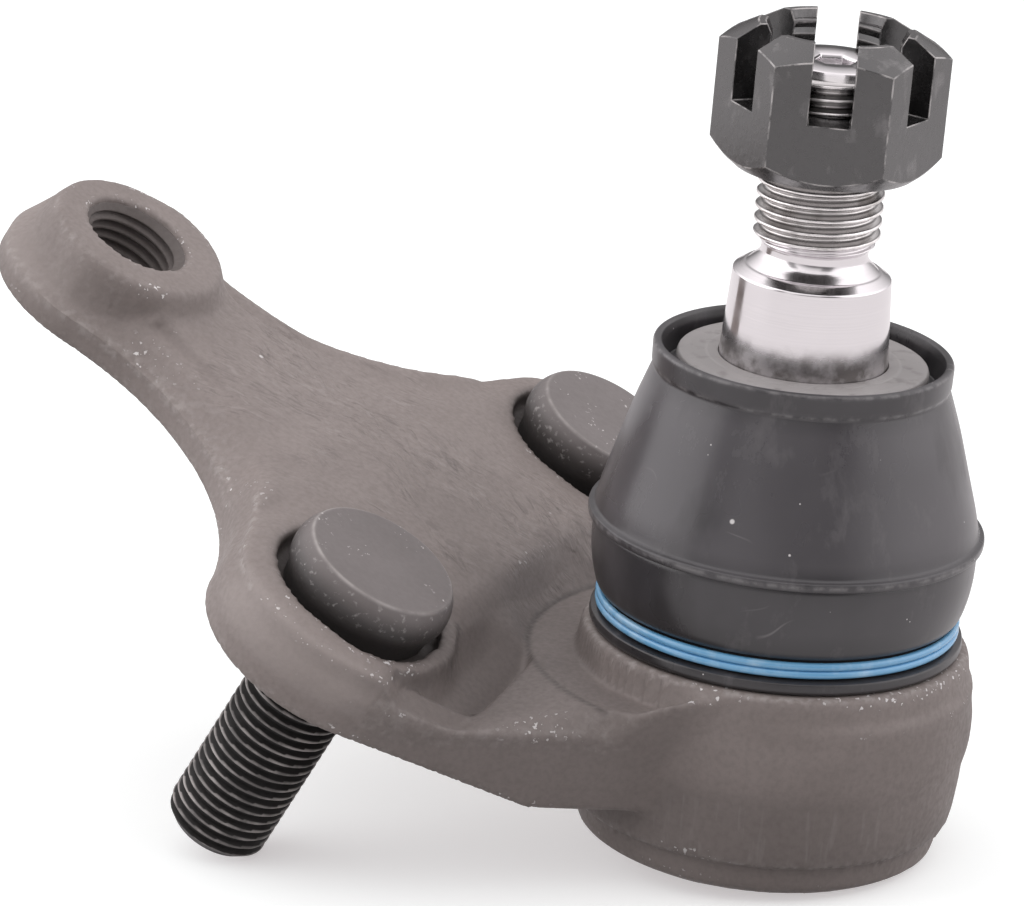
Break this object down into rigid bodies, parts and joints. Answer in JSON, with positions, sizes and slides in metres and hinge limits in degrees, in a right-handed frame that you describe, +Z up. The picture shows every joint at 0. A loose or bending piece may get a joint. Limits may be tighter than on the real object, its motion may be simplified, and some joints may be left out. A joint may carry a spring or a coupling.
{
  "type": "suspension ball joint",
  "caption": "Lower suspension ball joint: forged arm with pressed stud bolts and a threaded hole, preloaded ball in its housing, rubber boot, tapered stud and castle nut.",
  "frame": {"origin": "centre of the ball", "axes": "+Z up the ball stud, -X out along the arm, Y across the arm"},
  "size_m": [0.1227, 0.0906, 0.0987],
  "materials": {
    "forging": "warm grey phosphate over a shot-blasted forging",
    "closing_plate": "grey phosphate over pressed steel",
    "spring_steel": "oiled spring steel",
    "seat_plastic": "natural acetal",
    "ground_steel": "turned and ground, lightly oiled",
    "nut_phosphate": "dark grey phosphate",
    "boot_rubber": "moulded rubber, satin",
    "blue_wire": "blue coated wire",
    "ring_steel": "pressed steel",
    "washer_rubber": "grey moulded rubber, matt",
    "bolt_phosphate": "dark phosphate, nearly black on the thread"
  },
  "bodies": {
    "housing": {"housing_arm": "forging", "closing_plate": "closing_plate", "preload_spring": "spring_steel", "lower_seat": "seat_plastic", "upper_seat": "seat_plastic", "boot_clamp_ring": "blue_wire", "front_stud_bolt": "bolt_phosphate", "rear_stud_bolt": "bolt_phosphate"},
    "boot": {"dust_boot": "boot_rubber"},
    "boot_top": {"boot_top_ring": "ring_steel", "boot_seal_washer": "washer_rubber"},
    "stud": {"ball_stud": "ground_steel"},
    "nut": {"castle_nut": "nut_phosphate"}
  },
  "joints": [
    {"name": "swing_along_arm", "type": "hinge", "parent": "housing", "child": "boot", "pos_m": [0, 0, 0], "axis": [0, 1, 0], "range_deg": [-20, 20], "deforming": ["dust_boot"]},
    {"name": "swing_across_arm", "type": "hinge", "parent": "boot", "child": "boot_top", "pos_m": [0, 0, 0], "axis": [1, 0, 0], "range_deg": [-20, 20], "deforming": ["dust_boot"]},
    {"name": "stud_spin", "type": "hinge", "parent": "boot_top", "child": "stud", "pos_m": [0, 0, 0], "axis": [0, 0, 1], "continuous": true},
    {"name": "nut_travel", "type": "slide", "parent": "stud", "child": "nut", "axis": [0, 0, 1], "range_m": [-0.008, 0.008]}
  ]
}
